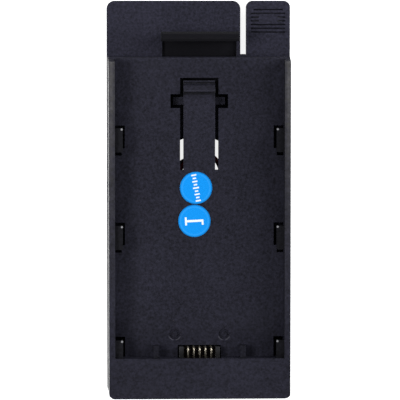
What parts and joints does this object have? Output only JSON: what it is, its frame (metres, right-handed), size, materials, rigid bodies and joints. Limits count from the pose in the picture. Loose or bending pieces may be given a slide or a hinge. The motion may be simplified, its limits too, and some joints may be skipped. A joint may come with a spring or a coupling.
{
  "type": "camera battery holder",
  "caption": "Snap-in tray that holds a slide-on camera battery under side hooks, with blade contacts, a sprung latch with release bar, and a back shell with flange and finger tab.",
  "frame": {"origin": "middle of the holder's box, on the plane that the back rails rest on", "axes": "+X across the width, +Y along the length from the contacts to the flange, +Z out of the battery bay"},
  "size_m": [0.0432, 0.093, 0.014],
  "materials": {
    "tray_plastic": "fine speckled matte moulding",
    "shell_plastic": "fine speckled matte moulding",
    "lever_plastic": "smooth satin black",
    "insulator": "satin dark brown",
    "contact_gold": "gold plated",
    "circuit_board": "green solder mask",
    "lead_red": "soft red insulation",
    "lead_black": "soft black insulation",
    "screw_steel": "plain steel",
    "sticker_blue": "glossy printed sticker"
  },
  "bodies": {
    "holder": {"tray": "tray_plastic", "base_plate": "shell_plastic", "contact_block": "insulator", "contact_blade_1": "contact_gold", "contact_blade_2": "contact_gold", "contact_blade_3": "contact_gold", "contact_blade_4": "contact_gold", "contact_blade_5": "contact_gold", "contact_board": "circuit_board", "board_screw_1": "screw_steel", "board_screw_2": "screw_steel", "lead_red": "lead_red", "lead_black": "lead_black", "output_block": "insulator", "output_contact_1": "contact_gold", "output_contact_2": "contact_gold", "case_screw_1": "screw_steel", "case_screw_2": "screw_steel", "case_screw_3": "screw_steel", "case_screw_4": "screw_steel", "label_upper": "sticker_blue", "label_lower": "sticker_blue"},
    "battery_latch": {"latch_tongue": "tray_plastic", "release_lever": "lever_plastic"},
    "finger_tab": {"release_tab": "shell_plastic"}
  },
  "joints": [
    {"name": "battery_latch_flex", "type": "hinge", "parent": "holder", "child": "battery_latch", "pos_m": [0, 0.00695, 0.008], "axis": [1, 0, 0], "range_deg": [-4.2, 0], "stiffness_Nm_per_rad": 1.2},
    {"name": "finger_tab_flex", "type": "hinge", "parent": "holder", "child": "finger_tab", "pos_m": [0.016, 0.0246, 0.0038], "axis": [1, 0, 0], "range_deg": [0, 4], "stiffness_Nm_per_rad": 1.5}
  ]
}
